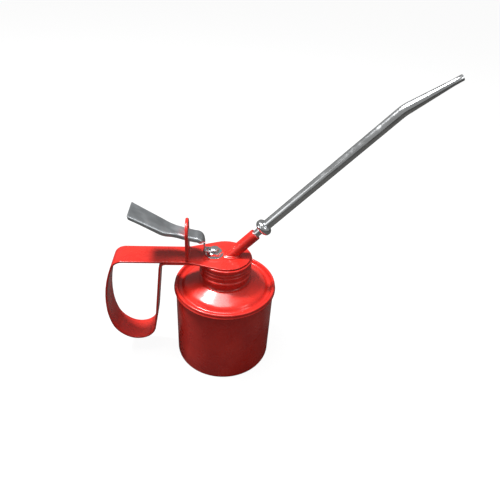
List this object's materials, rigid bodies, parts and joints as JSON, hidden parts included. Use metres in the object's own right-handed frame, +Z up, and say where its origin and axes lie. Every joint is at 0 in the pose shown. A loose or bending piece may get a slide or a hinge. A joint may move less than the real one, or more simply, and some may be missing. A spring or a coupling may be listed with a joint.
{
  "type": "thumb-lever pump oil can",
  "caption": "Small steel oil can with a screwed head, looped strap handle, thumb-lever pump and a long bent spout that turns to aim.",
  "frame": {"origin": "centre of the can's flat base", "axes": "+Z up along the can's axis, +X towards the spout, the looped handle along -X"},
  "size_m": [0.2213, 0.076, 0.2202],
  "materials": {
    "can_enamel": "gloss red enamel",
    "head_enamel": "gloss red enamel",
    "zinc_plate": "dull zinc plate",
    "chrome": "bright plate",
    "brass": "turned",
    "spring_steel": "bright",
    "seal_rubber": "matte",
    "leather": "oiled",
    "fibre": "red vulcanised fibre"
  },
  "bodies": {
    "can": {"body_cup": "can_enamel", "shoulder_dome": "can_enamel"},
    "seal": {"cap_seal": "seal_rubber"},
    "head": {"screw_cap": "head_enamel", "handle_strap": "head_enamel", "fulcrum_post": "head_enamel", "gland_nut": "chrome", "gland_washer": "chrome", "gland_packing": "seal_rubber", "pump_head": "brass", "pump_barrel": "brass", "return_spring": "spring_steel", "foot_valve": "brass", "ball_keeper": "spring_steel", "suction_tube": "brass", "spout_socket": "head_enamel", "delivery_spring": "spring_steel", "spout_nipple": "chrome"},
    "lever": {"thumb_lever": "zinc_plate"},
    "plunger": {"plunger_rod": "chrome", "piston_cup": "leather", "piston_washers": "zinc_plate", "piston_nut": "zinc_plate"},
    "inlet_valve": {"inlet_ball": "spring_steel"},
    "delivery_valve": {"delivery_ball": "spring_steel"},
    "spout": {"spout_tube": "chrome", "spout_washer": "fibre", "spout_nut": "chrome"}
  },
  "joints": [
    {"name": "cap_lift", "type": "slide", "parent": "can", "child": "seal", "axis": [0, 0, 1], "range_m": [0, 0.0078]},
    {"name": "cap_unscrew", "type": "hinge", "parent": "seal", "child": "head", "pos_m": [0, 0, 0.08], "axis": [0, 0, 1], "range_deg": [0, 1080]},
    {"name": "lever_press", "type": "hinge", "parent": "head", "child": "lever", "pos_m": [-0.0275, 0, 0.1057], "axis": [0, -1, 0], "range_deg": [0, 20], "stiffness_Nm_per_rad": 0.3, "springref_deg": -12.85},
    {"name": "plunger_lift", "type": "slide", "parent": "head", "child": "plunger", "axis": [0, 0, 1], "range_m": [0, 0.0078], "deforming": ["return_spring"]},
    {"name": "inlet_ball_lift", "type": "slide", "parent": "head", "child": "inlet_valve", "axis": [0, 0, 1], "range_m": [0, 0.0012]},
    {"name": "delivery_ball_lift", "type": "slide", "parent": "head", "child": "delivery_valve", "axis": [0.6782, 0, 0.7349], "range_m": [0, 0.0006]},
    {"name": "spout_turn", "type": "hinge", "parent": "head", "child": "spout", "pos_m": [0.00345, 0, 0.0904], "axis": [0.6782, 0, 0.7349], "continuous": true}
  ],
  "couplings": [
    {"joint": "plunger_lift", "follows": "lever_press", "m_per_rad": 0.0223},
    {"joint": "cap_lift", "follows": "cap_unscrew", "m_per_rad": 0.0004138}
  ]
}
